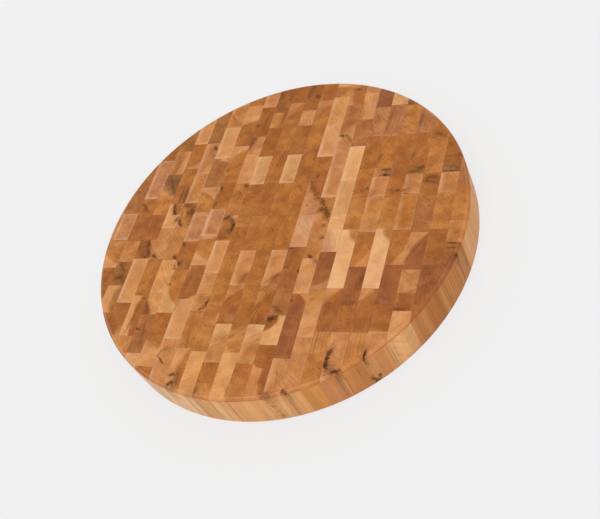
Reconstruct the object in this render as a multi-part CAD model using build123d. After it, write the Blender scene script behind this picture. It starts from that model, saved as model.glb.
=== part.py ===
"""Round end-grain chopping block.

Hardwood staves are glued side by side into panels. Each panel is crosscut into strips,
and every strip is turned up so that its end grain faces the knife. The strips are glued
side by side, some of them turned end for end, so that the joints of neighbours miss each
other. The slab is then cut round and its two rims are eased.

Millimetres, +Z up. The origin is the centre of the underside. The strips run along Y.
"""
from build123d import *
import os
from itertools import accumulate
from math import ceil, sqrt

# The round blank
block_diameter = 457
block_thickness = 49
top_rim_bevel = 2
bottom_rim_bevel = 2

# The stock: about the thickness that a panel is planed to, and the width of one of its staves
strip_width = 20.5
stave_width = 50

# The least that is worth gluing in at the rim: a smaller piece stays part of its neighbour
thinnest_strip = 4
shortest_block = 5

# How far the cutting boxes reach past what they cut
overrun = 5

# Each panel's planed thickness, as a share of strip_width
thickness_shares = {
    "a": 1.09,
    "b": 1.06,
    "c": 0.97,
    "d": 0.94,
    "e": 0.96,
    "f": 1.00,
    "g": 1.04,
    "h": 0.95,
    "i": 0.95,
    "j": 1.01,
    "k": 1.01,
}

# Each panel's staves from its far end to its near one, as shares of stave_width
stave_shares = {
    "a": [1.05, 1.40, 1.20, 0.82, 0.83, 0.84, 0.94, 1.06, 1.30],
    "b": [1.15, 1.02, 0.62, 1.27, 0.57, 0.77, 0.62, 0.69, 0.77, 1.10],
    "c": [1.20, 1.08, 0.84, 0.56, 0.57, 0.77, 0.93, 1.04, 1.11, 0.95],
    "d": [1.32, 0.97, 1.02, 0.94, 0.75, 0.98, 0.94, 0.59, 1.02, 1.05],
    "e": [1.00, 0.37, 0.53, 0.95, 0.90, 1.30, 0.83, 0.82, 0.46, 1.27, 1.20],
    "f": [1.08, 0.56, 1.06, 1.02, 1.01, 1.00, 0.98, 1.01, 0.97, 0.49, 0.90],
    "g": [0.65, 0.35, 0.96, 1.02, 0.75, 1.01, 0.92, 0.91, 0.91, 0.74, 0.56, 0.95],
    "h": [0.95, 0.90, 0.86, 1.06, 1.05, 0.99, 1.00, 1.20, 1.40],
    "i": [0.55, 0.93, 0.95, 1.00, 0.88, 0.89, 1.58, 1.08, 0.54, 0.90],
    "j": [1.44, 1.02, 0.97, 0.27, 0.58, 1.01, 0.93, 0.99, 0.65, 1.30],
    "k": [0.90, 0.90, 0.83, 1.03, 0.65, 1.01, 0.98, 0.59, 0.44, 1.00],
}

# How far beyond the centre every panel's far end lies, as a share of stave_width
panel_end_share = 5

# The strips from the left rim to the right: the panel that each was cut from, whether it was
# turned end for end, and how far it was then slid along +Y, as a share of stave_width
strip_shares = [
    ("a", True, 0.25),
    ("a", False, -0.05),
    ("b", False, 0),
    ("b", True, 0.01),
    ("c", False, 0),
    ("d", False, 0),
    ("a", True, 0.09),
    ("a", False, 0),
    ("d", True, 0.32),
    ("e", False, 0),
    ("f", False, 0),
    ("e", False, 0),
    ("f", False, 0),
    ("g", False, 0),
    ("d", False, 0),
    ("h", False, 0),
    ("i", False, 0),
    ("j", False, 0),
    ("i", False, 0),
    ("j", False, 0.04),
    ("k", False, 0),
    ("j", False, 0.04),
    ("j", True, 0.70),
]

# The strip of that list that lies over the centre, counted from 0, and the share of it left of the centre
middle_strip = 11
left_of_centre_share = 0.63

radius = block_diameter / 2


def round_blank():
    """The whole block as one disc with both rims eased by a bevel, which every block is cut from."""
    disc = Cylinder(radius, block_thickness, align=(Align.CENTER, Align.CENTER, Align.MIN))
    disc = chamfer(disc.edges().group_by(Axis.Z)[-1], top_rim_bevel)
    return chamfer(disc.edges().group_by(Axis.Z)[0], bottom_rim_bevel)


def cutting_box(left, right, near, far):
    """A box over that rectangle of the plan, running past both faces of the block."""
    size = (right - left, far - near, block_thickness + 2 * overrun)
    middle = ((left + right) / 2, (near + far) / 2, block_thickness / 2)
    return Pos(*middle) * Box(*size)


def strips_outwards(place, seam, way):
    """Strips laid from that seam to the rim, to the right where way is 1 and to the left where it is -1.

    Each is its place in the list of strips, which starts again on a larger block, and its two sides.
    """
    laid = []
    while way * seam < radius - thinnest_strip:
        panel = strip_shares[place % len(strip_shares)][0]
        next_seam = seam + way * strip_width * thickness_shares[panel]
        laid.append([place, min(seam, next_seam), max(seam, next_seam)])
        seam = next_seam
        place += way
    return laid


def laid_strips():
    """All strips from the left rim to the right, the outer two reaching past the rim."""
    middle_panel = strip_shares[middle_strip][0]
    seam = -left_of_centre_share * strip_width * thickness_shares[middle_panel]
    leftward = strips_outwards(middle_strip - 1, seam, -1)
    strips = leftward[::-1] + strips_outwards(middle_strip, seam, 1)
    strips[0][1] = -radius - overrun
    strips[-1][2] = radius + overrun
    return strips


def joint_places(place, reach):
    """Where the glue joints cross a strip that reaches that far from the middle, from far to near."""
    panel, turned, slide = strip_shares[place % len(strip_shares)]
    staves = [share * stave_width for share in stave_shares[panel]]
    repeats = ceil(block_diameter / sum(staves))
    far_end = panel_end_share * stave_width + repeats * sum(staves)
    joints = [far_end - run for run in accumulate(staves * (2 * repeats + 1))]
    way = -1 if turned else 1
    joints = [way * joint + slide * stave_width for joint in joints]
    room = reach - shortest_block
    return sorted((joint for joint in joints if -room < joint < room), reverse=True)


def strip_blocks(place, left, right):
    """One strip as the separate blocks that its staves became, from far to near."""
    nearest = 0 if left < 0 < right else min(abs(left), abs(right))
    reach = sqrt(radius**2 - nearest**2)
    rim = reach + overrun
    strip = blank & cutting_box(left, right, -rim, rim)
    joints = joint_places(place, reach)
    blocks = []
    for far, near in zip([rim] + joints, joints + [-rim]):
        block = (strip & cutting_box(left - overrun, right + overrun, near, far)).solid()
        block.label = f"block_{len(blocks) + 1:02}"
        blocks.append(block)
    return blocks


blank = round_blank()
os.makedirs("parts", exist_ok=True)
block_count = 0
for number, (place, left, right) in enumerate(laid_strips(), start=1):
    name = f"end_grain_strip_{number:02}"
    blocks = strip_blocks(place, left, right)
    block_count += len(blocks)
    export_step(Compound(label=name, children=blocks), f"parts/{name}.step")
print(f"{number} strips hold {block_count} blocks")
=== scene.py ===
"""The looks of a round end-grain chopping block. Metres, +Z up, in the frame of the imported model.

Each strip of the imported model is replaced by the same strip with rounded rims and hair-fine arrises at
its joints. Every block in it carries the growth of its own stave as attributes: its tones, where the
pith of its tree lay, how wide its rings are, where sapwood starts, and its knots. One material grows
the wood from those, through the whole thickness, so that the wall shows the long grain of each block.
"""

from math import cos, pi, radians, sin, sqrt

import bmesh
import bpy
import numpy
from mathutils import Matrix, Vector


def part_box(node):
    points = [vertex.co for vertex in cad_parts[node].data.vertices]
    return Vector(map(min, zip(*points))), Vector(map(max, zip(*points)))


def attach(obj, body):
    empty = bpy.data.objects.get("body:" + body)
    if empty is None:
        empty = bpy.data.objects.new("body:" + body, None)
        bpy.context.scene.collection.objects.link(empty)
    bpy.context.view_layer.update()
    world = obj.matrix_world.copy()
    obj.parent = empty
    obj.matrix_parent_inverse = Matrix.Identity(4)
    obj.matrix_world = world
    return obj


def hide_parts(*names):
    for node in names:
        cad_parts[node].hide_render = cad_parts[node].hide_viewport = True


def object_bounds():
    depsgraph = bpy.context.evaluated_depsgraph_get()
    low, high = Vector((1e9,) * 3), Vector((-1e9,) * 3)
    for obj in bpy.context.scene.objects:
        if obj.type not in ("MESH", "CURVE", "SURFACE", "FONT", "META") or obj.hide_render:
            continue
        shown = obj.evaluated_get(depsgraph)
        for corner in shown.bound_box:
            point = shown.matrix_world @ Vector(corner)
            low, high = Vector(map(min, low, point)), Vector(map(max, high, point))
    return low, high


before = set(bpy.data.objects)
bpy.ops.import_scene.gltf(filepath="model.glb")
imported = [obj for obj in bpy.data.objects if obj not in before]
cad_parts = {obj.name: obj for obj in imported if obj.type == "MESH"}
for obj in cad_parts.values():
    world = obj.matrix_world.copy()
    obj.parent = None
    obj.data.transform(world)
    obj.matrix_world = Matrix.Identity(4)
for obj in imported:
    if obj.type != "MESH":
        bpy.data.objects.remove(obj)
cad_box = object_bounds()

MM = 0.001

# The round slab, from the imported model
radius = (cad_box[1].x - cad_box[0].x) / 2
thickness = cad_box[1].z - cad_box[0].z

# The visible block: how its rims and joints are eased, and how finely its round sides are cut
top_rounding = 4 * MM
foot_rounding = 2 * MM
joint_arris = 0.1 * MM
sides_round = 480
steps_in_rounding = 6

# Edges shorter than this are taken out, since the easing of the joints leaves some with no length
no_length = 0.002 * MM

# Where a block has no joint, as at the rim, its side is taken to lie this far away
no_joint = 1000 * MM

# A face is upright if its normal rises less than this, and lies across its strip if its normal runs along
# the strip by more than this
upright_rise = 0.5
across_strip = 0.9999

# Wood tones, as they look on the oiled end grain
tones = {
    "black": (80, 49, 19),
    "wall_knot": (96, 64, 34),
    "umber": (122, 73, 35),
    "dark_olive": (146, 97, 54),
    "olive": (164, 107, 53),
    "dark_red": (143, 86, 54),
    "red_brown": (156, 93, 53),
    "brown": (166, 100, 50),
    "orange": (172, 104, 50),
    "amber": (179, 111, 52),
    "gold": (187, 120, 61),
    "honey": (195, 128, 71),
    "tan": (200, 133, 80),
    "clay": (180, 117, 72),
    "pink": (191, 128, 83),
    "rose": (213, 153, 109),
    "cinnamon": (173, 109, 61),
    "ochre": (195, 128, 61),
    "golden": (207, 140, 74),
    "corn": (221, 155, 95),
    "rust": (158, 94, 42),
    "copper": (188, 115, 62),
    "maize": (219, 155, 88),
    "peach": (231, 174, 120),
    "pale": (212, 147, 93),
    "bright": (224, 164, 109),
    "light_gold": (212, 154, 98),
    "straw": (227, 171, 114),
    "sand": (208, 143, 86),
    "wheat": (222, 162, 104),
    "cream": (236, 188, 138),
    # A darker red for a line lower on the rims
    "dark_rim_red": (184, 98, 50),
    # The painted highlight on the rims
    "rim": (236, 170, 130),
    # The pale of the joints, partly a painted highlight
    "pale_and_lit_edge": (234, 182, 138),
}

# How dark the late wood is where a look doesn't say: it is weaker in tones with less red than this
bright_red = 190
rings_in_bright_wood = 0.38
rings_in_dark_wood = 0.14


def look(
    tone, sap=None, pith=45, reach=60, at=(50, 50), soft=1.2, rings=None, spacing=2.5, light=0.06, lean=0
):
    """How one stave looks on its end.

    tone is the wood near the pith, which lies on the bearing pith, in degrees from +X, reach mm from the
    block's middle. Past the ring that goes through the point at, given in percent of the block from its
    left and from its far side, comes the tone sap, over a border soft mm wide. rings is how dark the
    late wood is, spacing the mm from ring to ring, light how much the block pales along its joints, as paler
    wood and a painted highlight, and lean how many mm further from the pith its foot is than its top.
    """
    is_bright = tones[tone][0] >= bright_red
    return {
        "tone": tone,
        "sap": sap or tone,
        "pith": pith,
        "reach": reach,
        "at": at,
        "soft": soft,
        "rings": rings or (rings_in_bright_wood if is_bright else rings_in_dark_wood),
        "spacing": spacing,
        "light": light,
        "lean": lean,
    }


# Each panel's staves that show, from its far end to its near one, as in a strip that isn't turned
panels = {
    "a": [
        look("orange"),
        look("orange", "pale", 292, 45, (50, 40), 5),
        look("brown", light=0),
        look("brown"),
        look("pink", light=1),
        look("gold", "pale", 52, 30, (50, 75), 3),
        look("brown"),
        look("pale", rings=0.2, light=1),
        look("tan", light=0.5),
    ],
    "b": [
        look("gold", "tan", 45, 40, (50, 50), 6, rings=0.25),
        look("rust", rings=0.2),
        look("pink", light=1),
        look("amber", rings=0.2),
        look("brown", rings=0.25),
        look("honey"),
        look("olive", rings=0.35, spacing=3.5),
        look("olive", "pale", 0, 40, (60, 50), 5),
        look("brown"),
    ],
    "c": [
        look("sand", light=1),
        look("amber", "tan", 135, 40, (60, 85), 3),
        look("amber", rings=0.5, spacing=4),
        look("orange"),
        look("orange", "pale", 73, 13.8, (69, 41), 0.8, rings=0.12, light=0.6),
        look("tan", rings=0.35, spacing=3),
        look("amber"),
        look("orange", "pale", 0, 60, (36, 50), 3),
        look("honey", rings=0.2),
    ],
    "d": [
        look("brown", "tan", 0, 50, (50, 50), 8),
        look("olive"),
        look("tan", light=0.6),
        look("tan", light=1),
        look("amber", "tan", 45, 40, (25, 80), 4, rings=0.4, spacing=3.5),
        look("honey", rings=0.4, spacing=3),
        look("pale", pith=35, rings=0.35, spacing=3),
        look("red_brown", "tan", 215, 40, (85, 30), 2),
        look("red_brown", pith=0, rings=0.25),
        look("tan", light=0.5),
    ],
    "e": [
        look("rust", rings=0.25, spacing=5),
        look("red_brown", rings=0.05),
        look("honey", "amber", 180, 60, (70, 50), 5, rings=0.5, spacing=4.5),
        look("brown", pith=130, rings=0.2),
        look("light_gold", pith=135, light=1),
        look("amber", rings=0.25),
        look("orange", rings=0.2),
        look("amber"),
        look("amber"),
        look("orange", "honey", 115, 40, (50, 50), 12),
        look("corn", pith=110, reach=70, rings=0.25),
    ],
    "f": [
        look("rust"),
        look("orange", "tan", -45, 35, (45, 40), 14),
        look("amber"),
        look("orange", rings=0.25, spacing=4),
        look("orange", rings=0.25, spacing=4),
        look("amber", rings=0.2),
        look("orange", "tan", -50, 40, (70, 75), 2, light=0.6),
        look("orange", "honey", -35, 35, (35, 28), 3, rings=0.75, spacing=3.4),
        look("honey", "bright", -60, 55, (50, 33), 12, rings=0.4, spacing=3, light=0.4),
        look("copper", light=0),
        look("honey"),
    ],
    "g": [
        look("pale"),
        look("gold"),
        look("sand", light=0.6),
        look("pale", light=1),
        look("orange", rings=0.3),
        look("brown", "pink", 45, 40, (50, 45), 3),
        look("rose", pith=40, rings=0.5, spacing=3),
        look("brown", pith=50, rings=0.3),
        look("cinnamon"),
        look("brown", "bright", 135, 24, (50, 34), 2),
        look("brown", "tan", 60, 24, (20, 90), 1),
        look("brown", "tan", 10, 40, (55, 40), 3),
    ],
    "h": [
        look("pink"),
        look("amber", "pale", 192, 85, (30, 75), 5, rings=0.38, spacing=4),
        look("cinnamon", pith=80, rings=0.2),
        look("bright", pith=5, reach=80, rings=0.12, spacing=4, light=1),
        look("light_gold", pith=5, light=1),
        look("rose", "peach", 215, 40, (50, 60), 6),
        look("red_brown", "pink", 128, 40, (50, 87), 3),
        look("gold", "pale", 120, 50, (40, 45), 18, rings=0.2, light=0.2),
        look("tan"),
    ],
    "i": [
        look("dark_red"),
        look("gold", rings=0.25, spacing=5),
        look("orange", rings=0.2),
        look("orange", rings=0.2),
        look("gold", rings=0.15),
        look("gold", "peach", 60, 50, (50, 7), 4, light=0.6),
        look("brown", "tan", -20, 30, (30, 20), 5),
        look("honey", pith=0, reach=90, rings=0.5, spacing=4),
        look("gold"),
    ],
    "j": [
        look("light_gold"),
        look("clay", pith=180, reach=80, rings=0.3, spacing=5),
        look("amber", rings=0.2),
        look("olive"),
        look("tan", light=0.7),
        look("gold", rings=0.15),
        look("amber", "tan", 160, 50, (75, 70), 3),
        look("red_brown", pith=0, reach=90, rings=0.3, spacing=4),
        look("brown", rings=0.2),
        look("tan", rings=0.2, light=0.5),
    ],
    "k": [
        look("amber", rings=0.3, spacing=5),
        look("gold"),
        look("amber"),
        look("cinnamon", pith=215, rings=0.35),
        look("red_brown", "tan", -25, 80, (35, 40), 3),
        look("tan"),
        look("brown"),
        look("pale", pith=142, reach=24, rings=0.22, spacing=3, lean=15),
    ],
}

# The strips from the left rim to the right: the panel of each, whether it is turned end for end, and
# which of its panel's staves, counted from 0, comes first at its far end
strips = [
    ("a", True, 5),
    ("a", False, 2),
    ("b", False, 1),
    ("b", True, 8),
    ("c", False, 0),
    ("d", False, 0),
    ("a", True, 8),
    ("a", False, 0),
    ("d", True, 9),
    ("e", False, 0),
    ("f", False, 0),
    ("e", False, 0),
    ("f", False, 0),
    ("g", False, 0),
    ("d", False, 0),
    ("h", False, 0),
    ("i", False, 0),
    ("j", False, 0),
    ("i", False, 0),
    ("j", False, 1),
    ("k", False, 0),
    ("j", False, 2),
    ("j", True, 6),
]

# Blocks that look unlike the rest of their stave, by strip and block, both counted from 1. These looks are
# as they are in place, so they aren't turned with their strip
changed_looks = {
    (1, 2): look("tan"),
    (1, 3): look("tan"),
    (2, 2): look("cinnamon"),
    (3, 4): look("brown"),
    (4, 1): look("olive", rings=0.3),
    (4, 2): look("honey", "pale", 180, 60, (68, 50), 4, light=0.2),
    (4, 3): look("dark_olive", "tan", 40, 50, (25, 72), 9, rings=0.3),
    (4, 4): look("gold"),
    (4, 6): look("brown", "tan", 199, 40, (84, 36), 2, rings=0.25),
    (4, 7): look("sand", light=1),
    (4, 8): look("brown", rings=0.35),
    (4, 9): look("red_brown", "tan", 150, 30, (64, 56), 9),
    (6, 4): look("honey", light=0.8),
    (6, 7): look("corn", pith=35, rings=0.45, spacing=3),
    (6, 8): look("red_brown", "sand", 215, 40, (25, 50), 2),
    (6, 9): look("cinnamon", pith=0, rings=0.25),
    (6, 10): look("light_gold", light=0.5),
    (7, 1): look("honey", light=0.2),
    (7, 3): look("cinnamon"),
    (7, 7): look("gold", "light_gold", 28, 35, (50, 66), 2),
    (7, 8): look("orange", "pale", 70, 40, (50, 60), 6),
    (8, 3): look("amber", "pale", -34, 30, (38, 22), 4),
    (8, 4): look("rust", "amber", 90, 60, (50, 75), 20),
    (9, 2): look("rust", pith=180, rings=0.25),
    (9, 3): look("red_brown", "tan", 155, 50, (34, 40), 3),
    (9, 5): look("gold", rings=0.4, spacing=3),
    (9, 7): look("sand", light=1),
    (9, 8): look("honey", "tan", -90, 60, (50, 45), 14, light=0.4),
    (9, 9): look("gold"),
    (9, 10): look("gold", "pale", 0, 40, (50, 40), 4),
    (10, 4): look("rust", pith=130, rings=0.2),
    (10, 6): look("orange", "gold", 90, 60, (50, 62), 16, rings=0.25),
    (10, 10): look("gold"),
    (11, 6): look("gold", "orange", 110, 60, (50, 35), 16, rings=0.2),
    (11, 10): look("orange", light=0),
    (12, 2): look("rust", rings=0.2),
    (12, 3): look("tan", pith=5, reach=90, rings=0.4, spacing=4.5),
    (12, 8): look("orange"),
    (13, 1): look("orange"),
    (13, 5): look("amber", rings=0.25, spacing=4),
    (15, 1): look("brown", "tan", 0, 50, (25, 50), 8),
    (15, 2): look("cinnamon", "tan", 150, 40, (75, 75), 12),
    (15, 5): look("gold", "tan", 45, 40, (25, 80), 4, rings=0.4, spacing=3.5),
    (17, 2): look("clay", rings=0.25, spacing=5),
    (17, 4): look("amber", rings=0.2),
    (18, 4): look("tan"),
    (18, 6): look("honey", rings=0.15, light=0.45),
    (19, 8): look("honey", pith=0, reach=90, rings=0.4, spacing=4),
    (20, 2): look("amber", rings=0.05),
    (20, 4): look("tan", light=0.35),
    (20, 5): look("amber", light=0.5),
    (22, 1): look("rust", rings=0.25),
    (22, 2): look("dark_olive"),
    (22, 3): look("honey", light=0.7),
    (22, 5): look("brown"),
    (23, 1): look("clay"),
    (23, 3): look("honey"),
    (23, 4): look("olive"),
    (23, 5): look("red_brown", rings=0.35, spacing=4),
}

# Knots, dark smears and pale patches, by strip and block, both counted from 1. Each is: how far across
# the block and how far along it from its far side, in percent; half its length and half its width in mm;
# the bearing of its length in degrees; and how dark it is, or below 0 how pale, in percent
spots = {
    (1, 3): [(50, 40, 12, 2, 88, 55)],
    (2, 2): [(45, 15, 3, 1.5, 0, 30)],
    (2, 4): [(50, 12, 14, 4, 8, -50)],
    (3, 2): [(50, 14, 10, 0.5, 12, 25)],
    (3, 3): [(35, 50, 11, 1.8, -45, 70), (30, 70, 2, 1.5, 0, 50)],
    (3, 6): [(45, 25, 10, 2.5, -50, 50), (45, 68, 5, 2, 10, 60), (75, 75, 12, 3, -50, 40)],
    (3, 7): [(65, 45, 14, 0.8, 88, 35)],
    (4, 2): [(40, 60, 16, 4, 88, 30)],
    (4, 3): [(60, 50, 17, 1.8, -62, 60), (80, 30, 10, 4, -60, 25)],
    (4, 4): [(80, 12, 6, 4, 0, -35)],
    (4, 6): [
        (5, 35, 7, 1.4, 90, 75),
        (60, 26, 8, 2.4, -77, 65),
        (86, 72, 6.5, 1.8, -54, 85),
        (75, 88, 4, 2.5, 0, 50),
        (40, 50, 12, 5, 80, 20),
    ],
    (5, 2): [(20, 7, 3, 2, 0, 35)],
    (5, 4): [(56, 50, 17, 1.2, 88, 70), (84, 55, 17, 2.8, 89, 65)],
    (5, 5): [
        (38, 14, 7.5, 1.9, -77, 95),
        (54, 36, 4, 2.2, -45, 100),
        (82, 41, 4, 1.2, 8, 60),
        (88, 68, 4, 2, 82, 90),
    ],
    (5, 6): [(28, 90, 6, 2.2, -38, 95)],
    (5, 7): [(30, 95, 6, 1.5, -30, 40)],
    (5, 8): [(50, 60, 22, 1.6, 80, 40)],
    (6, 3): [(80, 17, 4, 2, -55, 100), (70, 30, 14, 4, -65, 30)],
    (6, 5): [
        (35, 9, 9, 3.6, -20, 65),
        (84, 38, 7, 4, -70, 75),
        (52, 42, 4.5, 2.6, -50, 60),
        (24, 84, 7.5, 2, -60, 95),
        (28, 42, 6, 2.4, -72, -60),
    ],
    (6, 6): [(85, 92, 4, 2.2, -60, 90)],
    (6, 8): [(10, 50, 16, 4, -65, 45)],
    (6, 9): [(15, 39, 4, 0.9, -15, 95), (60, 45, 16, 1.5, -80, 35)],
    (7, 1): [(25, 60, 6, 0.7, -50, 70)],
    (7, 3): [(70, 5, 9, 3, -20, -90)],
    (7, 4): [(50, 97, 11, 1.5, 0, -80), (85, 13, 7, 4, -30, 30)],
    (7, 6): [(15, 12, 3.5, 2.5, -70, 70), (25, 80, 3, 3, -40, 90), (10, 80, 8, 1.5, -60, -80)],
    (7, 7): [(14, 35, 3, 1.8, 0, 45)],
    (8, 2): [(22, 49, 4, 2.5, 0, 35)],
    (8, 3): [(13, 66, 3, 2, 0, 35)],
    (8, 4): [(20, 22, 5, 2.4, -60, 75), (14, 84, 5, 2, 80, 65), (5, 25, 7, 1.5, 90, -80)],
    (8, 6): [(50, 4, 14, 2, 4, -80), (50, 88, 10, 4, 0, 20)],
    (8, 7): [(22, 45, 14, 3, 75, 35), (5, 10, 6, 1.5, 90, -70), (85, 97, 7, 3, 20, -90)],
    (8, 8): [(6, 15, 9, 2.5, 80, 40)],
    (8, 9): [(35, 47, 6, 0.9, -45, 95), (10, 33, 4, 1, 70, 60), (35, 22, 5, 1, 20, 35)],
    (9, 2): [(10, 62, 4, 2, 0, 60), (65, 55, 16, 1.4, 88, 40)],
    (9, 3): [(10, 30, 12, 2, -80, 35)],
    (9, 5): [(88, 10, 5, 2.4, -50, 70), (55, 30, 5, 1.5, -50, 40)],
    (9, 6): [
        (25, 9, 5.5, 2.4, 38, 85),
        (66, 22, 10, 2.2, -52, 70),
        (88, 50, 6, 2.4, 84, 95),
        (60, 62, 8, 4.5, -28, 55),
        (40, 88, 7, 3.6, 0, 55),
    ],
    (9, 8): [(92, 80, 6, 2, 70, 100), (65, 95, 3.5, 1.8, 20, 70)],
    (9, 9): [(50, 70, 14, 0.8, -82, 30)],
    (9, 10): [
        (30, 62, 4, 2.2, 15, 90),
        (30, 82, 4.5, 2.6, 30, 90),
        (65, 75, 14, 4, 88, 40),
        (20, 97, 5, 2, 0, 80),
    ],
    (10, 1): [(15, 50, 10, 2.5, 90, 40), (90, 80, 8, 2, 90, 40)],
    (10, 3): [(85, 50, 14, 1.2, 85, 30)],
    (10, 5): [(80, 85, 8, 4, 45, 20)],
    (10, 6): [(35, 12, 3, 1.2, 0, 40), (60, 30, 3.5, 0.8, 10, 40)],
    (10, 10): [(95, 30, 7, 1.5, 90, -70)],
    (10, 11): [(80, 97, 9, 5, 45, 30)],
    (11, 7): [(75, 72, 9, 2.2, 45, 50), (80, 12, 8, 5, 0, -30)],
    (11, 8): [(75, 85, 8, 6, 0, -30), (50, 10, 10, 5, 0, 15)],
    (11, 11): [(8, 50, 5, 1.5, 90, 60)],
    (12, 1): [(20, 50, 14, 4, 80, 45), (85, 85, 4, 5, 90, 60)],
    (12, 5): [(80, 90, 6, 3, -20, 20)],
    (12, 6): [(40, 88, 9, 4, 0, -20)],
    (12, 7): [(60, 12, 5, 0.5, -42, 60)],
    (12, 10): [(20, 68, 5, 1.5, 35, 40)],
    (12, 11): [(95, 80, 6, 1.4, 90, 50)],
    (13, 4): [(88, 8, 2, 1.4, 0, 50), (88, 30, 3, 1, 60, 40)],
    (13, 5): [(55, 20, 9, 0.9, -50, 35)],
    (13, 7): [(70, 75, 9, 2.2, 42, 50), (25, 12, 8, 6, 0, -30)],
    (13, 9): [(25, 12, 8, 5, 0, 20), (75, 85, 8, 6, 0, -20)],
    (14, 5): [(45, 78, 3, 1.8, 90, 60)],
    (14, 6): [(55, 30, 15, 2.5, -58, 35), (33, 73, 1.5, 1, 0, 50)],
    (14, 7): [(25, 85, 8, 5, 0, -30)],
    (14, 8): [(12, 4, 5, 1.2, 0, 60), (18, 60, 3, 2, 0, 50), (95, 72, 2.4, 1.3, 90, 100)],
    (14, 9): [(45, 85, 12, 2.5, -32, 45)],
    (14, 10): [(20, 14, 4, 3.2, 0, 110), (35, 8, 7, 3, 20, 40)],
    (15, 1): [(30, 30, 4, 2, 0, 60), (50, 32, 4, 1, -20, 50)],
    (15, 3): [(22, 5, 4, 1.8, -10, 95), (75, 15, 10, 2.4, -50, 45)],
    (15, 5): [
        (25, 22, 9, 2.8, -62, 75),
        (35, 50, 4.5, 3, -30, 85),
        (78, 68, 8, 3.2, -58, 75),
        (20, 75, 9, 4, 60, -50),
    ],
    (15, 6): [(72, 7, 2.5, 1.8, 0, 60), (85, 42, 3, 2.4, 30, 60), (45, 96, 4, 1.8, -35, 95)],
    (15, 7): [(85, 6, 7, 3, -45, 40)],
    (15, 8): [(5, 30, 2.5, 1.4, 90, 80)],
    (15, 10): [(20, 93, 6, 4, 0, 50), (50, 45, 14, 0.5, -80, 30)],
    (16, 6): [(20, 85, 8, 5, 80, 15)],
    (16, 9): [(12, 95, 5, 2.2, -15, 90)],
    (17, 2): [(25, 25, 7, 1, -60, 35), (10, 70, 6, 1.2, -70, 35)],
    (17, 4): [(75, 72, 5, 0.9, 55, 45), (90, 70, 3, 0.9, -50, 45), (30, 92, 9, 4, 10, -30)],
    (18, 2): [(15, 50, 22, 2, 85, 35)],
    (18, 3): [(12, 68, 9, 2.4, 80, 50)],
    (18, 4): [(72, 22, 7, 1.8, 0, 80), (75, 86, 7, 1.5, 0, 95), (78, 55, 6, 4, 0, 45)],
    (18, 5): [(20, 85, 7, 4, 60, 20)],
    (18, 6): [(28, 85, 9, 4, 60, -50)],
    (18, 8): [(87, 30, 6, 2.6, 88, 65)],
    (18, 10): [
        (14, 44, 8, 2.6, 74, 100),
        (10, 64, 6.5, 2.4, 103, 85),
        (32, 70, 9, 6, -42, 40),
        (72, 79, 5.5, 2, 20, 100),
    ],
    (19, 2): [(50, 30, 5, 2, 20, 25), (30, 75, 4, 2.5, 0, 25)],
    (19, 4): [(70, 80, 2, 1.4, 0, 80), (30, 80, 5, 0.5, -20, 40)],
    (20, 1): [(15, 60, 18, 2, 88, 40)],
    (20, 2): [(15, 70, 7, 2.5, 80, 50)],
    (20, 3): [(75, 35, 6, 3, 10, 85), (35, 75, 8, 2, 0, 60)],
    (20, 4): [(10, 80, 2, 1.5, 0, 50), (25, 98, 2, 1, 0, 50), (25, 85, 6, 4, 60, 25)],
    (20, 5): [(10, 95, 7, 3, 80, -50)],
    (20, 9): [(7, 78, 5, 1.8, 80, 100), (5, 95, 5, 1.5, 95, 90)],
    (21, 1): [(50, 85, 9, 2.4, -35, 50)],
    (21, 3): [(25, 28, 6, 3, 60, 50), (62, 18, 8, 3, -12, 55), (55, 40, 9, 2.6, -12, 45)],
    (21, 6): [(20, 10, 7, 0.8, -40, 35), (75, 95, 8, 2.5, 15, 35)],
    (21, 7): [(40, 90, 9, 2, 0, 60)],
    (22, 1): [(80, 75, 3, 3, 0, 45), (30, 80, 9, 1, -10, 40)],
    (22, 2): [(55, 90, 9, 1, 0, 85), (45, 35, 9, 1.2, -12, 40)],
    (23, 3): [(50, 55, 4, 2, 20, 30)],
    (23, 4): [(35, 10, 7, 1.5, 0, 80), (35, 55, 6, 1.6, 5, 60)],
    (23, 5): [(75, 5, 4, 2.2, 60, 95)],
}

# The long grain of the blocks at the rim that isn't like that of the rest, by strip and block
wall_tones = {
    (4, 9): "cream",
    (5, 9): "straw",
    (6, 10): "cream",
    (7, 9): "cream",
    (8, 9): "cream",
    (9, 10): "cream",
    (10, 11): "cream",
    (11, 11): "wheat",
    (12, 11): "straw",
    (13, 11): "wheat",
    (14, 12): "wheat",
    (15, 10): "wheat",
    (16, 9): "wheat",
    (17, 9): "golden",
    (18, 10): "tan",
    (19, 9): "honey",
    (20, 9): "sand",
    (21, 8): "straw",
    (22, 6): "amber",
    (22, 7): "honey",
    (23, 1): "maize",
    (23, 2): "maize",
    (23, 3): "wheat",
    (23, 4): "ochre",
    (23, 5): "ochre",
}

# The long grain of the blocks whose wall the photograph doesn't show, taken in turn
unseen_wall_tones = ["wheat", "straw", "sand", "cream", "golden", "corn", "honey"]

# How many spots the material reads for each block, and what stands where a block has fewer
most_spots = 5
no_spot = (0, 0, 1, 1, 0, 0)

# How far from its pith the sapwood starts in a block that has none, in mm
no_sapwood = 9999

# How the noise and the unseen wall tone change from strip to strip and from block to block
seed_steps = (7, 3)
seed_share = 0.618
wall_tone_step = 3

# What the sheen of the oil adds to each part of a tone, and the least that is left without it
oil_sheen = 0.01
least_light = 0.003


def linear(tone):
    """A tone as scene-linear red, green and blue."""
    shares = [level / 255 for level in tone]
    return tuple(s / 12.92 if s <= 0.04045 else ((s + 0.055) / 1.055) ** 2.4 for s in shares)


def under_oil(tone):
    """A tone as scene-linear light, less the sheen that the oil adds, so that it shows as written."""
    return tuple(max(part - oil_sheen, least_light) for part in linear(tone))


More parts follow.
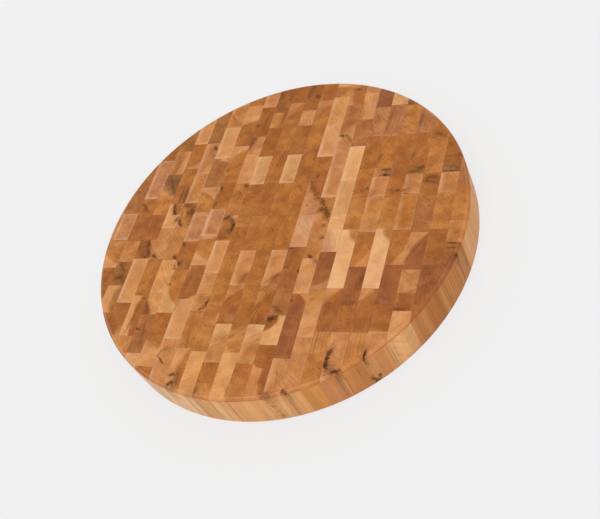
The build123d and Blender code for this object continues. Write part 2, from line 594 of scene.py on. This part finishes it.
def round_slab():
    """The whole slab as one closed mesh with both rims rounded."""
    turns = [pi / 2 * step / steps_in_rounding for step in range(steps_in_rounding + 1)]
    foot = [(radius - foot_rounding * (1 - sin(t)), foot_rounding * (1 - cos(t))) for t in turns]
    top = [(radius - top_rounding * (1 - sin(t)), thickness - top_rounding * (1 - cos(t))) for t in turns]
    profile = foot + top[::-1]
    slab = bmesh.new()
    rings = []
    for reach, height in profile:
        angles = [2 * pi * (side + 0.5) / sides_round for side in range(sides_round)]
        rings.append([slab.verts.new((reach * cos(a), reach * sin(a), height)) for a in angles])
    for lower, upper in zip(rings, rings[1:]):
        for side in range(sides_round):
            after = (side + 1) % sides_round
            slab.faces.new((lower[side], lower[after], upper[after], upper[side]))
    slab.faces.new(rings[0][::-1])
    slab.faces.new(rings[-1])
    for face in slab.faces:
        face.smooth = len(face.verts) == 4
    return slab


def keep_within(mesh, axis, low, high):
    """Cuts the mesh to what lies between low and high along an axis, and closes it with joint faces."""
    for side, limit in ((-1, low), (1, high)):
        if abs(limit) >= no_joint:
            continue
        normal = Vector((0, 0, 0))
        normal[axis] = side
        place = Vector((0, 0, 0))
        place[axis] = limit
        everything = mesh.verts[:] + mesh.edges[:] + mesh.faces[:]
        bmesh.ops.bisect_plane(mesh, geom=everything, plane_co=place, plane_no=normal, clear_outer=True)
        opening = [edge for edge in mesh.edges if edge.is_boundary]
        for face in bmesh.ops.holes_fill(mesh, edges=opening, sides=0)["faces"]:
            face.smooth = False


def is_joint(face):
    """Whether a face is one of the flat sides that a block is glued by."""
    return not face.smooth and abs(face.normal.z) < upright_rise


def arris(mesh):
    """Takes the sharp edge off the sides that the block is glued by."""
    edges = list({edge for face in mesh.faces if is_joint(face) for edge in face.edges})
    bmesh.ops.bevel(mesh, geom=edges, offset=joint_arris, segments=1, affect="EDGES", clamp_overlap=True)
    for corner in mesh.verts:
        corner.co.z = min(max(corner.co.z, 0.0), thickness)
    bmesh.ops.dissolve_degenerate(mesh, dist=no_length, edges=mesh.edges)


def joints_of(node):
    """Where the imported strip's joints cross it, from far to near: planes that two blocks share."""
    planes = {}
    for face in node.data.polygons:
        if abs(face.normal.y) > across_strip:
            place = round(face.center.y / MM, 2)
            planes.setdefault(place, set()).add(face.normal.y > 0)
    return sorted((place * MM for place, ways in planes.items() if len(ways) == 2), reverse=True)


def growth(stave, long_grain, turned, left, right, near, far, seed, block_spots):
    """A block's growth as the vectors that the wood material reads, in mm."""
    way = -1 if turned else 1
    nearest = 0 if left < 0 < right else min(abs(left), abs(right))
    reach = sqrt(radius**2 - nearest**2)
    x_low, x_high = max(left, -radius) / MM, min(right, radius) / MM
    y_low, y_high = max(near, -reach) / MM, min(far, reach) / MM

    def at(across, along):
        return Vector((x_low + across * (x_high - x_low), y_high - along * (y_high - y_low)))

    across, along = (part / 100 for part in stave["at"])
    if turned:
        across, along = 1 - across, 1 - along
    bearing = radians(stave["pith"])
    pith = at(0.5, 0.5) + way * stave["reach"] * Vector((cos(bearing), sin(bearing)))
    border = (at(across, along) - pith).length if stave["sap"] != stave["tone"] else no_sapwood
    vectors = {
        "heart_tone": under_oil(tones[stave["tone"]]),
        "sap_tone": under_oil(tones[stave["sap"]]),
        "long_grain_tone": under_oil(tones[long_grain]),
        "pith_and_border": (pith.x, pith.y, border),
        "ring_looks": (stave["spacing"], stave["rings"], stave["soft"]),
        "pith_way": (way * cos(bearing), way * sin(bearing), stave["lean"]),
        "low_joints": (left / MM, near / MM, stave["light"]),
        "high_joints": (right / MM, far / MM, seed),
    }
    for number in range(most_spots):
        across, along, length, width, bearing, strength = (block_spots + [no_spot] * most_spots)[number]
        middle = at(across / 100, along / 100)
        turn = radians(bearing)
        vectors[f"spot_{number + 1}"] = (middle.x, middle.y, strength / 100)
        vectors[f"spot_{number + 1}_axis"] = (cos(turn) / length, sin(turn) / length, length / width)
    return vectors


def growth_in_strip(number, place, left, right, near, far):
    """The growth of the block at that place of a strip, counted from 0 at its far end."""
    panel, turned, first = strips[number - 1]
    block = (number, place + 1)
    stave = changed_looks.get(block, panels[panel][first - place if turned else first + place])
    turns = turned and block not in changed_looks
    unseen = unseen_wall_tones[(number * wall_tone_step + place) % len(unseen_wall_tones)]
    long_grain = wall_tones.get(block, unseen)
    seed = ((number * seed_steps[0] + place * seed_steps[1]) * seed_share) % 1
    return growth(stave, long_grain, turns, left, right, near, far, seed, spots.get(block, []))


def strip_mesh(number, node):
    """One strip with its blocks as separate shells, each vertex carrying its block's growth."""
    low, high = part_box(node.name)
    left = -no_joint if number == 1 else low.x
    right = no_joint if number == len(strips) else high.x
    strip = slab.copy()
    keep_within(strip, 0, left, right)
    joints = [no_joint] + joints_of(node) + [-no_joint]
    whole = bmesh.new()
    attributes = {}
    for place, (far, near) in enumerate(zip(joints, joints[1:])):
        block = strip.copy()
        keep_within(block, 1, near, far)
        arris(block)
        one = bpy.data.meshes.new("one")
        block.to_mesh(one)
        block.free()
        whole.from_mesh(one)
        for name, vector in growth_in_strip(number, place, left, right, near, far).items():
            attributes.setdefault(name, []).append(numpy.tile(vector, (len(one.vertices), 1)))
        bpy.data.meshes.remove(one)
    strip.free()
    mesh = bpy.data.meshes.new(f"oiled_strip_{number:02}")
    whole.to_mesh(mesh)
    whole.free()
    for name, parts in attributes.items():
        layer = mesh.attributes.new(name, "FLOAT_VECTOR", "POINT")
        layer.data.foreach_set("vector", numpy.concatenate(parts).astype(numpy.float32).ravel())
    return mesh


class Wiring:
    """Short ways to add nodes to a material or to the world."""

    def __init__(self, owner):
        owner.use_nodes = True
        self.tree = owner.node_tree
        self.tree.nodes.clear()

    def node(self, kind, fed=(), **settings):
        """A new node with those settings, and those values or sockets fed to its own by name or number."""
        made = self.tree.nodes.new("ShaderNode" + kind)
        for setting, value in settings.items():
            setattr(made, setting, value)
        for socket, value in dict(fed).items():
            if isinstance(value, bpy.types.NodeSocket):
                self.tree.links.new(value, made.inputs[socket])
            else:
                made.inputs[socket].default_value = value
        return made

    def maths(self, operation, *values, clamp=False):
        return self.node("Math", enumerate(values), operation=operation, use_clamp=clamp).outputs[0]

    def chain(self, operation, values):
        """One result of all the values, taken from left to right."""
        result = values[0]
        for value in values[1:]:
            result = self.maths(operation, result, value)
        return result

    def plus(self, *values):
        return self.chain("ADD", values)

    def times(self, *values):
        return self.chain("MULTIPLY", values)

    def highest(self, *values):
        return self.chain("MAXIMUM", values)

    def less(self, first, second):
        return self.maths("SUBTRACT", first, second)

    def over(self, first, second):
        return self.maths("DIVIDE", first, second)

    def portion(self, value, factor=1.0):
        """value times factor, kept between 0 and 1."""
        return self.maths("MULTIPLY", value, factor, clamp=True)

    def vectors(self, operation, *values):
        made = self.node("VectorMath", enumerate(values), operation=operation)
        return made.outputs["Value" if operation in ("LENGTH", "DOT_PRODUCT") else "Vector"]

    def scaled(self, vector, factor):
        fed = {"Vector": vector, "Scale": factor}
        return self.node("VectorMath", fed, operation="SCALE").outputs["Vector"]

    def flattened(self, vector, share):
        """The vector with its height times that share, so that a noise there is drawn out upwards."""
        return self.vectors("MULTIPLY", vector, (1.0, 1.0, share))

    def attribute(self, name):
        return self.node("Attribute", attribute_name=name).outputs["Vector"]

    def split(self, vector):
        return self.node("SeparateXYZ", {0: vector}).outputs

    def join(self, x, y, z=0.0):
        return self.node("CombineXYZ", {0: x, 1: y, 2: z}).outputs[0]

    def ease(self, value, start, end, low=0.0, high=1.0):
        """low where value is start, high where it is end, with a smooth way between."""
        fed = enumerate((value, start, end, low, high))
        return self.node("MapRange", fed, interpolation_type="SMOOTHSTEP").outputs[0]

    def noise(self, vector, scale, detail, output="Fac"):
        fed = {"Vector": vector, "Scale": scale, "Detail": detail}
        return self.node("TexNoise", fed).outputs[output]

    def about_zero(self, noise):
        """The noise, moved down to be as often below 0 as above."""
        return self.less(noise, 0.5)

    def mixed(self, factor, first, second, blend_type="MIX"):
        fed = {"Factor": factor, 6: first, 7: second}
        return self.node("Mix", fed, data_type="RGBA", blend_type=blend_type).outputs[2]

    def tinted(self, factor, tone, tint):
        """The tone times the tint, as far as factor says."""
        return self.mixed(factor, tone, (*tint, 1.0), "MULTIPLY")


def opaque(tone):
    return (*linear(tone), 1.0)


def oiled(name):
    return (*under_oil(tones[name]), 1.0)


# Marks on the wall alone: bearing round the block in degrees, height from the foot, half width and half
# height in mm, and how dark, or below 0 how pale
wall_marks = [
    (-107.2, 25, 2.6, 27, 0.18),
    (-102.3, 24, 3.4, 32, -0.55),
    (-98, 24, 1.5, 32, 0.45),
    (-91.8, 24, 4, 32, -0.6),
    (-87.9, 24, 0.6, 34, 0.6),
    (-76.8, 40, 1.6, 6, 0.4),
    (-75.4, 8, 2.4, 5, 0.45),
    (-73.6, 24, 2.6, 32, -0.4),
    (-71.3, 24, 0.6, 34, 0.7),
    (-57.6, 26, 2, 28, 0.25),
    (-56.4, 24, 0.9, 34, -0.4),
    (-52.1, 33, 0.5, 11, 0.7),
    (-50.3, 24, 0.6, 30, 0.4),
    (-49.6, 10, 2.4, 7, 1.15),
    (-47.7, 9, 2.2, 6, 1.15),
    (-48.8, 4, 5, 3.5, 1.15),
    (-22, 24, 1.6, 34, -0.25),
    (-20.3, 24, 1.4, 34, 0.3),
    (-18.4, 24, 0.8, 34, -0.25),
    (-16.9, 24, 0.6, 34, 0.25),
    (-15.4, 24, 1, 34, 0.25),
    (-11.9, 26, 1.8, 32, 0.55),
    (-8.6, 28, 2.6, 28, 0.45),
]

# A stretch of curly grain on the wall: its bearing, height, half width, half height and darkness as above
wall_curl = (-76, 22, 4.4, 26, 0.6)

# A fade in what follows is where it starts, where it ends, and how strong it is at each

# Knots and patches: how they fade outwards, in half sizes from their middle, and downwards, in mm of height;
# how strong and how ragged they are, and how far in mm they push the rings away
core_fade = (0.4, 1.3, 1, 0)
halo_fade = (0.6, 2.6, 1, 0)
patch_fade = (0.4, 1.4, 1, 0)
core_depth_fade = (40, 47.5, 0, 1)
halo_depth_fade = (22, 46, 0.08, 1)
core_strength = 0.8
halo_strength = 0.42
knot_raggedness = 1.7
depth_raggedness = 4
ring_push = 1.6

# Marks of the wall: where they fade, in half sizes from their middle; those less high than knot_half_height
# are as ragged as the knots, and the others have this share of it; and how strong the dark ones are
mark_reach = (0.4, 1.2)
knot_half_height = 8
line_raggedness = 0.35
wall_mark_strength = 0.75

# How far apart the blocks lie in the noise, so that no two look alike
noise_apart = (431, 277, 159)
ring_noise_apart = 97
streak_noise_apart = 211

# Growth rings: how far they wander in mm, how a tree leans for each mm of height, how late in a ring it
# darkens and how weak the weakest ring is
ring_wander = 5
tree_lean = (0.09, -0.06, 0)
late_wood_power = 2
weakest_ring = 0.3

# The border of the sapwood: how ragged it is in mm, and how much of its width lies on each side of it
border_raggedness = 2
softness_share = 0.8

# How much more the green and the blue of a tone change than its red, where it grows darker or paler
green_power = 1.4
blue_power = 1.8

# What multiplies a tone in linear red, green and blue
late_wood_tint = (0.4, 0.2, 0.07)
warm_tint = (1.03, 0.98, 0.88)
cool_tint = (0.97, 0.99, 1)
streak_tint = (0.65, 0.5, 0.38)
vein_tint = (0.5, 0.3, 0.18)
pore_tint = (0.3, 0.2, 0.12)
glue_tint = (0.35, 0.22, 0.12)

# How a block pales towards each of its joints: paler wood, with a painted highlight that makes the left and
# near joints the palest
left_fade = (0, 7, 0.72, 0)
near_fade = (0, 6, 0.56, 0)
right_fade = (0, 3, 0.32, 0)
far_fade = (0, 4, 0.28, 0)

# The thread of glue in the joints: where in mm it starts to fade, and how wide and how strong it is on the
# faces and on the wall
glue_core = 0.1
glue_widths = (0.4, 0.6)
glue_strengths = (0.22, 0.5)

# Pores and the surface
pores_per_mm = 1.6
pore_strength = 0.25
smoothest = 0.42
roughest = 0.62
gloss = 0.18
bump_strength = 0.3
bump_depth = 0.06 * MM

# The wall: how far its tone is that of the long grain, and how strong the late wood is in it
long_grain_share = 0.85
late_wood_on_wall = 1.2

# How far the surface's normal rises, from 1 on the faces to 0 on the wall: where end grain starts and where
# it is alone, and where each line on the rims, two painted highlights and a darker red line, starts, is
# full, is still full, and ends
end_grain_rises = (0.08, 0.3)
inner_highlight_rises = (0.997, 0.98, 0.95, 0.9)
outer_highlight_rises = (0.82, 0.7, 0.6, 0.48)
dark_rim_line_rises = (0.06, 0.2, 0.4, 0.55)
outer_highlight_strength = 0.3

# The way to the right in the photograph, and from where to where in mm the rims count as right
right_way = (0.87, -0.5, 0)
right_reach = (198, 216)


class Block:
    """What the material reads of the block that it is on, in mm, and the noises that several steps use."""

    def __init__(self, w):
        place = w.scaled(w.node("TexCoord").outputs["Object"], 1 / MM)
        self.x, self.y, self.z = w.split(place)
        self.low_x, self.low_y, self.light = w.split(w.attribute("low_joints"))
        self.high_x, self.high_y, self.seed = w.split(w.attribute("high_joints"))
        self.pith_x, self.pith_y, self.border = w.split(w.attribute("pith_and_border"))
        self.way_x, self.way_y, self.foot_lean = w.split(w.attribute("pith_way"))
        self.spacing, self.contrast, self.softness = w.split(w.attribute("ring_looks"))
        self.own = w.vectors("ADD", place, w.scaled(noise_apart, self.seed))
        self.rise = w.maths("ABSOLUTE", w.split(w.node("NewGeometry").outputs["Normal"])[2])
        self.end_grain = w.ease(self.rise, *end_grain_rises)
        self.on_wall = w.less(1, self.end_grain)
        self.mottle = w.noise(self.own, 0.55, 4)
        self.warmth = w.noise(self.own, 0.045, 1.5)


def marks_of(w, b, ragged):
    """How far the knots of a block darken it, and how far its pale patches light it."""
    cores, halos, pales = 0, 0, 0
    for number in range(1, most_spots + 1):
        spot_x, spot_y, strength = w.split(w.attribute(f"spot_{number}"))
        axis_x, axis_y, slimness = w.split(w.attribute(f"spot_{number}_axis"))
        off_x = w.less(b.x, spot_x)
        off_y = w.less(b.y, spot_y)
        along = w.plus(w.times(off_x, axis_x), w.times(off_y, axis_y))
        beside = w.less(w.times(off_y, axis_x), w.times(off_x, axis_y))
        beside = w.times(beside, slimness)
        out = w.plus(w.vectors("LENGTH", w.join(along, beside)), ragged)
        dark = w.highest(strength, 0)
        light = w.highest(w.times(strength, -1), 0)
        cores = w.plus(cores, w.times(w.ease(out, *core_fade), dark))
        halos = w.plus(halos, w.times(w.ease(out, *halo_fade), dark))
        pales = w.plus(pales, w.times(w.ease(out, *patch_fade), light))
    return cores, halos, pales


def knots_of(w, b):
    """The noise that makes knots ragged, and how strong the knots and patches are at each depth."""
    ragged = w.times(w.about_zero(w.noise(b.own, 0.25, 5)), knot_raggedness)
    cores, halos, pales = marks_of(w, b, ragged)
    height = w.plus(b.z, w.times(ragged, depth_raggedness))
    cores = w.times(cores, w.ease(height, *core_depth_fade))
    halos = w.times(halos, w.ease(height, *halo_depth_fade))
    return ragged, cores, halos, pales


def rings_of(w, b, halos):
    """How far from its pith and how far along its ring each point lies, in mm, as the rings wander."""
    wander = w.noise(w.flattened(b.own, 0.12), 0.04, 2, "Color")
    wander = w.scaled(w.vectors("SUBTRACT", wander, (0.5, 0.5, 0.5)), ring_wander)
    lean = w.scaled(tree_lean, w.less(b.z, thickness / MM))
    away = w.vectors("SUBTRACT", w.join(b.x, b.y), w.join(b.pith_x, b.pith_y))
    away = w.flattened(w.vectors("ADD", w.vectors("ADD", away, wander), lean), 0)
    depth = w.less(1, w.over(b.z, thickness / MM))
    from_pith = w.plus(w.vectors("LENGTH", away), w.times(b.foot_lean, depth), w.times(halos, ring_push))
    away_x, away_y, _ = w.split(away)
    along_ring = w.less(w.times(away_y, b.way_x), w.times(away_x, b.way_y))
    return from_pith, along_ring


def late_wood_of(w, b, from_pith):
    """How strong the late wood is that darkens each ring towards its end."""
    turn = w.over(from_pith, b.spacing)
    ring_number = w.plus(w.maths("FLOOR", turn), w.times(b.seed, ring_noise_apart))
    ring = w.node("TexWhiteNoise", {"W": ring_number}, noise_dimensions="1D")
    late = w.maths("POWER", w.maths("FRACT", turn), late_wood_power)
    return w.times(late, w.ease(ring.outputs["Value"], 0, 1, weakest_ring, 1), b.contrast)


def heart_and_sap(w, b, from_pith):
    """The tone of the heartwood, and past the border that of the sapwood."""
    ragged = w.times(w.about_zero(w.noise(b.own, 0.3, 4)), border_raggedness)
    past = w.less(w.plus(from_pith, ragged), b.border)
    half_soft = w.times(b.softness, softness_share)
    sapwood = w.ease(past, w.times(half_soft, -1), half_soft)
    return w.mixed(sapwood, w.attribute("heart_tone"), w.attribute("sap_tone"))


def grained(w, b, tone, redness, from_pith, along_ring):
    """The tone with streaks along the rings, rays across them, broad patches and uneven oil."""
    shift = w.times(b.seed, streak_noise_apart)
    deep = w.times(b.z, 0.02)
    streaks = w.noise(w.join(w.plus(from_pith, shift), w.times(along_ring, 0.14), deep), 0.75, 4)
    rays = w.noise(w.join(w.times(from_pith, 0.12), w.plus(along_ring, shift), deep), 1.1, 3)
    patches = w.noise(b.own, 0.06, 1.5)
    calm = w.times(w.ease(b.light, 0.3, 0.8, 1, 0.75), w.ease(redness, 0.5, 0.66, 1, 0.65))
    level = w.times(
        w.ease(streaks, 0.3, 0.7, 0.92, 1.08),
        w.ease(rays, 0.25, 0.75, 0.97, 1.03),
        w.ease(patches, 0.32, 0.68, 0.86, 1.14),
        w.ease(b.mottle, 0.35, 0.65, 0.96, 1.04),
    )
    level = w.plus(1, w.times(w.less(level, 1), calm))
    change = w.join(level, w.maths("POWER", level, green_power), w.maths("POWER", level, blue_power))
    tone = w.vectors("MULTIPLY", tone, change)
    tone = w.tinted(w.times(w.ease(b.warmth, 0.5, 0.66), calm), tone, warm_tint)
    tone = w.tinted(w.ease(b.warmth, 0.5, 0.34), tone, cool_tint)
    line = w.times(w.ease(streaks, 0.6, 0.74), w.ease(b.contrast, 0.1, 0.4, 0.1, 0.25))
    return w.tinted(line, tone, streak_tint)


def veined(w, b, tone, redness):
    """The tone with short fine veins in the wood that isn't pale."""
    vein = w.maths("ABSOLUTE", w.about_zero(w.noise(b.own, 0.12, 3)))
    vein = w.times(w.ease(vein, 0, 0.06, 0.4, 0), w.ease(w.noise(b.own, 0.17, 1), 0.52, 0.62))
    vein = w.times(vein, w.ease(redness, 0.48, 0.62, 1, 0.15))
    return w.tinted(vein, tone, vein_tint)


def porous(w, b, tone):
    """The tone with fibres and pores that run through the thickness, then the fibres and the pores."""
    place = w.flattened(b.own, 0.03)
    fibres = w.noise(place, pores_per_mm, 3)
    tone = w.scaled(tone, w.ease(fibres, 0.25, 0.75, 0.95, 1.1))
    cells = w.node("TexVoronoi", {"Vector": place, "Scale": pores_per_mm})
    pores = w.ease(cells.outputs["Distance"], 0.06, 0.2, 1, 0)
    return w.tinted(w.times(pores, pore_strength), tone, pore_tint), fibres, pores


def paler_and_highlit_at_joints(w, b, tone):
    """The tone paler along the joints, partly paler wood and partly a painted highlight that is strongest at
    the left and near ones, with a thread of glue.
    """
    from_left = w.less(b.x, b.low_x)
    from_near = w.less(b.y, b.low_y)
    from_right = w.less(b.high_x, b.x)
    from_far = w.less(b.high_y, b.y)
    paler = w.highest(
        w.ease(from_left, *left_fade),
        w.ease(from_near, *near_fade),
        w.ease(from_right, *right_fade),
        w.ease(from_far, *far_fade),
    )
    paler = w.times(paler, b.light, w.ease(b.warmth, 0.35, 0.65, 0.45, 1))
    # Paler wood along the joints and a painted highlight, strongest at the left and near ones
    tone = w.mixed(paler, tone, oiled("pale_and_lit_edge"))
    to_joint = w.chain("MINIMUM", (from_left, from_right, from_near, from_far))
    width = w.ease(b.on_wall, 0, 1, *glue_widths)
    strength = w.ease(b.on_wall, 0, 1, *glue_strengths)
    return w.tinted(w.ease(to_joint, glue_core, width, strength, 0), tone, glue_tint)


def out_from(w, b, bearing, height, half_width, half_height):
    """How far out each point of the wall lies from a mark's middle, in half sizes of the mark."""
    turn = radians(bearing)
    foot = (radius / MM * cos(turn), radius / MM * sin(turn), 0)
    off = w.vectors("SUBTRACT", w.join(b.x, b.y), foot)
    round_wall = w.over(w.vectors("LENGTH", off), half_width)
    up_wall = w.over(w.less(b.z, height), half_height)
    return w.vectors("LENGTH", w.join(round_wall, up_wall))


def wall_marks_of(w, b, ragged):
    """How far the marks of the wall alone darken it, and how far they pale it."""
    *curl_place, curl_strength = wall_curl
    curl = w.ease(out_from(w, b, *curl_place), 0.6, 1.1, curl_strength, 0)
    curly = w.noise(w.vectors("MULTIPLY", b.own, (0.3, 0.3, 1)), 0.6, 3)
    darks = w.times(curl, w.ease(curly, 0.48, 0.58))
    pales = 0
    for *place, strength in wall_marks:
        half_height = place[-1]
        torn = w.times(ragged, 1 if half_height < knot_half_height else line_raggedness)
        mark = w.ease(w.plus(out_from(w, b, *place), torn), *mark_reach, abs(strength), 0)
        if strength > 0:
            darks = w.plus(darks, mark)
        else:
            pales = w.plus(pales, mark)
    return darks, pales


def as_long_grain(w, b, tone, late, ragged):
    """The tone of the wall, whose long grain takes less oil: paler, with upright streaks."""
    lines = w.noise(w.flattened(b.own, 0.03), 0.5, 5)
    bands = w.noise(w.flattened(b.own, 0.02), 0.09, 2)
    tone = w.mixed(long_grain_share, tone, w.attribute("long_grain_tone"))
    tone = w.mixed(w.portion(late, late_wood_on_wall), tone, oiled("brown"))
    tone = w.scaled(tone, w.ease(lines, 0.3, 0.7, 0.93, 1.07))
    tone = w.scaled(tone, w.ease(bands, 0.3, 0.7, 0.9, 1.12))
    tone = w.scaled(tone, w.ease(b.mottle, 0.35, 0.65, 0.96, 1.05))
    tone = w.mixed(w.ease(lines, 0.38, 0.28, 0, 0.25), tone, oiled("umber"))
    darks, pales = wall_marks_of(w, b, ragged)
    tone = w.mixed(w.portion(darks, wall_mark_strength), tone, oiled("wall_knot"))
    return w.mixed(w.portion(pales), tone, oiled("cream"))


def rim_line(w, b, start, full, still_full, end):
    """1 on a line along the rims, which lies where the surface's normal rises by so much."""
    return w.times(w.ease(b.rise, start, full), w.ease(b.rise, end, still_full))


def rimmed(w, b, tone):
    """The tone with painted highlights where the rim leaves the face and half way down, and a darker red
    line below.
    """
    inner_highlight = rim_line(w, b, *inner_highlight_rises)
    outer_highlight = w.times(rim_line(w, b, *outer_highlight_rises), outer_highlight_strength)
    dark_rim_line = rim_line(w, b, *dark_rim_line_rises)
    rightward = w.vectors("DOT_PRODUCT", w.join(b.x, b.y), right_way)
    highlight_share = w.times(w.ease(b.y, 60, -120, 0.15, 0.4), w.ease(rightward, *right_reach, 1, 0.25))
    # Painted highlights on the rims, strongest on the near side and weaker to the right
    tone = w.mixed(w.times(w.highest(inner_highlight, outer_highlight), highlight_share), tone, oiled("rim"))
    # A darker red line lower on the rims, stronger to the right
    dark_rim_line = w.times(dark_rim_line, w.ease(rightward, *right_reach, 0.3, 0.5))
    return w.mixed(dark_rim_line, tone, oiled("dark_rim_red"))


def knotted(w, b, tone, cores, halos, pales):
    """The tone with dark knots and pale patches over it all."""
    blotches = w.ease(w.noise(w.flattened(b.own, 0.2), 0.4, 3), 0.38, 0.62, 0.5, 1.6)
    tone = w.mixed(w.portion(w.times(halos, blotches), halo_strength), tone, oiled("umber"))
    tone = w.mixed(w.portion(cores, core_strength), tone, oiled("black"))
    return w.mixed(w.portion(pales), tone, oiled("pale"))


def oiled_wood():
    """End grain on both faces and long grain on the wall, grown from each block's attributes."""
    material = bpy.data.materials.new("oiled_end_grain")
    w = Wiring(material)
    b = Block(w)
    ragged, cores, halos, pales = knots_of(w, b)
    from_pith, along_ring = rings_of(w, b, halos)
    late = late_wood_of(w, b, from_pith)
    tone = heart_and_sap(w, b, from_pith)
    redness = w.split(tone)[0]
    tone = w.tinted(late, tone, late_wood_tint)
    tone = grained(w, b, tone, redness, from_pith, along_ring)
    tone = veined(w, b, tone, redness)
    tone, fibres, pores = porous(w, b, tone)
    tone = paler_and_highlit_at_joints(w, b, tone)
    tone = w.mixed(b.end_grain, as_long_grain(w, b, tone, late, ragged), tone)
    tone = rimmed(w, b, tone)
    tone = knotted(w, b, tone, cores, halos, pales)

    height = w.less(fibres, pores)
    bump = w.node("Bump", {"Strength": bump_strength, "Distance": bump_depth, "Height": height})
    sockets = {
        "Base Color": tone,
        "Roughness": w.ease(w.plus(fibres, pores), 0.2, 1.2, smoothest, roughest),
        "Specular IOR Level": gloss,
        "Normal": bump.outputs["Normal"],
    }
    shader = w.node("BsdfPrincipled", sockets)
    w.node("OutputMaterial", {"Surface": shader.outputs[0]})
    return material


slab = round_slab()
wood = oiled_wood()
for number in range(1, len(strips) + 1):
    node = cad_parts[f"end_grain_strip_{number:02}"]
    piece = bpy.data.objects.new(f"oiled_strip_{number:02}", strip_mesh(number, node))
    bpy.context.scene.collection.objects.link(piece)
    piece.data.materials.append(wood)
    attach(piece, "root")
    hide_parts(node.name)
slab.free()

# The floor and the light round it, which show as one pale grey, and how far the shadow on it is faded
backdrop_grey = (241, 241, 241)
floor_half = 6.0
shadow_faded = 0.78

# How strong the light from all round is, and for each lamp its strength, its bearing and its height in
# degrees, and how many degrees wide it is seen
sky_strength = 0.6
key_lamp = (1.05, -75, 55, 50)
fill_lamp = (0.42, 60, 60, 60)


def seen_directly(w):
    """1 for what the camera sees straight, in a reflection or through glass, and 0 for light on its way."""
    rays = w.node("LightPath").outputs
    return w.highest(rays["Is Camera Ray"], rays["Is Glossy Ray"], rays["Is Transmission Ray"])


def floor():
    """A plain pale floor under the block."""
    mesh = bpy.data.meshes.new("floor")
    corners = [(-1, -1), (1, -1), (1, 1), (-1, 1)]
    mesh.from_pydata([(x * floor_half, y * floor_half, 0.0) for x, y in corners], [], [(0, 1, 2, 3)])
    made = bpy.data.objects.new("floor", mesh)
    bpy.context.scene.collection.objects.link(made)
    mesh.materials.append(bpy.data.materials.new("pale_floor"))
    w = Wiring(mesh.materials[0])
    lit = w.node("BsdfDiffuse", {"Color": opaque(backdrop_grey)})
    plain = w.node("Emission", {"Color": opaque(backdrop_grey)})
    faded = w.times(seen_directly(w), shadow_faded)
    seen = w.node("MixShader", {0: faded, 1: lit.outputs[0], 2: plain.outputs[0]})
    w.node("OutputMaterial", {"Surface": seen.outputs[0]})


def sky(strength):
    """Even light from all round, which shows as the backdrop's grey, also in reflections."""
    world = bpy.data.worlds.new("soft_studio")
    bpy.context.scene.world = world
    w = Wiring(world)
    light = w.node("Background", {"Color": (1.0, 1.0, 1.0, 1.0), "Strength": strength})
    seen = w.node("Background", {"Color": opaque(backdrop_grey)})
    chosen = w.node("MixShader", {0: seen_directly(w), 1: light.outputs[0], 2: seen.outputs[0]})
    w.node("OutputWorld", {"Surface": chosen.outputs[0]})


def lamp(name, strength, bearing, height, spread):
    """A distant soft lamp at that bearing and height, in degrees, seen as that many degrees wide."""
    data = bpy.data.lights.new(name, "SUN")
    data.energy = strength
    data.angle = radians(spread)
    made = bpy.data.objects.new(name, data)
    b, h = radians(bearing), radians(height)
    towards = Vector((cos(b) * cos(h), sin(b) * cos(h), sin(h)))
    made.rotation_euler = towards.to_track_quat("Z", "Y").to_euler()
    bpy.context.scene.collection.objects.link(made)


floor()
sky(sky_strength)
lamp("key", *key_lamp)
lamp("fill", *fill_lamp)

# The camera, in radii of the block from the middle of its top face, and its upright and sideways axes
photo_width = 600
focal_pixels = 958.85
camera_place = Vector((2.1995, -2.6868, 3.4072)) * radius + Vector((0, 0, thickness))
camera_right = Vector((0.9033, 0.2421, -0.3543))
camera_back = Vector((0.4290, -0.5296, 0.7318))


def camera():
    """The photograph's point of view."""
    data = bpy.data.cameras.new("camera")
    data.sensor_fit = "HORIZONTAL"
    data.lens = data.sensor_width * focal_pixels / photo_width
    made = bpy.data.objects.new("camera", data)
    back = camera_back.normalized()
    up = back.cross(camera_right).normalized()
    right = up.cross(back)
    turn = Matrix((right, up, back)).transposed().to_4x4()
    made.matrix_world = Matrix.Translation(camera_place) @ turn
    bpy.context.scene.collection.objects.link(made)
    bpy.context.scene.camera = made


camera()
bpy.context.scene.view_settings.view_transform = "Standard"
